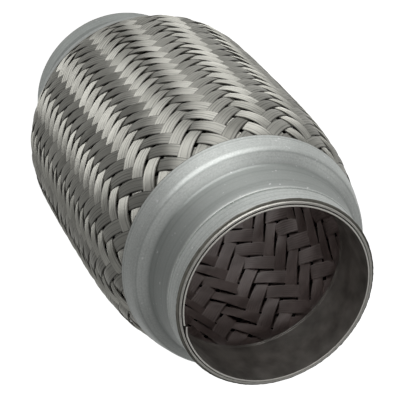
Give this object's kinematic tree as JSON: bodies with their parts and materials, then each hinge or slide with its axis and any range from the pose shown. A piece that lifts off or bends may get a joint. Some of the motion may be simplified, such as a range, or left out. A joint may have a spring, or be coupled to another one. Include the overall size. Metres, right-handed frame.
{
  "type": "exhaust flex pipe",
  "caption": "Straight metal flex pipe: a bellows with a woven liner, under a woven wire braid, between two drawn collars with plain round necks.",
  "frame": {"origin": "centre of the lower mouth, in the plane that the pipe stands on", "axes": "+Z along the pipe's axis, from the lower mouth to the upper mouth; the seam of the upper sleeve lies near +X"},
  "size_m": [0.084, 0.084, 0.15],
  "materials": {
    "collar_steel": "satin, drawn sheet",
    "sleeve_steel": "dull, dark in the bore",
    "bellows_steel": "thin bright sheet",
    "liner_steel": "woven flat strip",
    "braid_steel": "woven bright wire"
  },
  "bodies": {
    "root": {"upper_collar": "collar_steel", "lower_collar": "collar_steel", "upper_sleeve": "sleeve_steel", "lower_sleeve": "sleeve_steel", "bellows": "bellows_steel", "inner_braid": "liner_steel", "outer_braid": "braid_steel"}
  },
  "joints": []
}
